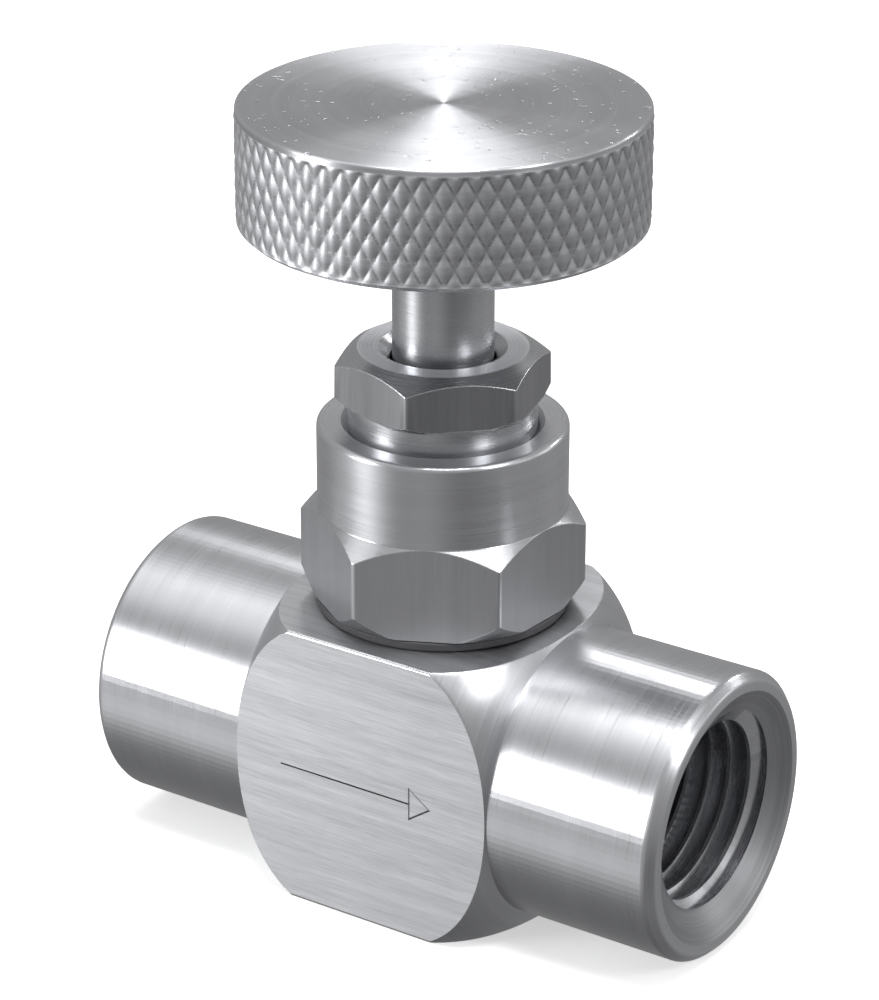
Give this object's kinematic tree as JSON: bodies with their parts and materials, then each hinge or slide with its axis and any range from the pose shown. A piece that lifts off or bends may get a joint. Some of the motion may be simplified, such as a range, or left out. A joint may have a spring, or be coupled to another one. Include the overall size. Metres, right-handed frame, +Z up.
{
  "type": "needle valve",
  "caption": "Small steel needle valve: square bar body with threaded ports at both ends, hexagon bonnet, gland nut, rising stem and round knurled knob.",
  "frame": {"origin": "middle of the body's bottom flat, under the crossing of the port axis and the stem axis", "axes": "+X with the flow from inlet to outlet, +Z up the stem, -Y out of the flat that carries the flow arrow"},
  "size_m": [0.0426, 0.0254, 0.052],
  "materials": {
    "body_steel": "brushed flats, turned ports",
    "turned_steel": "fine turned",
    "nut_steel": "machined",
    "stem_steel": "ground",
    "knob_steel": "faced top, diamond knurled rim",
    "screw_steel": "blackened",
    "gasket": "graphite-filled sheet",
    "packing": "PTFE"
  },
  "bodies": {
    "valve_body": {"body": "body_steel", "bonnet": "turned_steel", "bonnet_gasket": "gasket", "packing_washer": "turned_steel", "packing_ring_lower": "packing", "packing_ring_middle": "packing", "packing_ring_upper": "packing", "gland_follower": "turned_steel", "gland_nut": "nut_steel"},
    "needle": {"needle_tip": "stem_steel"},
    "spindle": {"stem": "stem_steel", "knob": "knob_steel", "knob_set_screw": "screw_steel"}
  },
  "joints": [
    {"name": "needle_lift", "type": "slide", "parent": "valve_body", "child": "needle", "axis": [0, 0, 1], "range_m": [-0.00317, 0.00106]},
    {"name": "stem_turn", "type": "hinge", "parent": "needle", "child": "spindle", "pos_m": [0, 0, 0.02], "axis": [0, 0, 1], "range_deg": [-1080, 360]}
  ],
  "couplings": [
    {"joint": "stem_turn", "follows": "needle_lift", "rad_per_m": 5936.9}
  ]
}
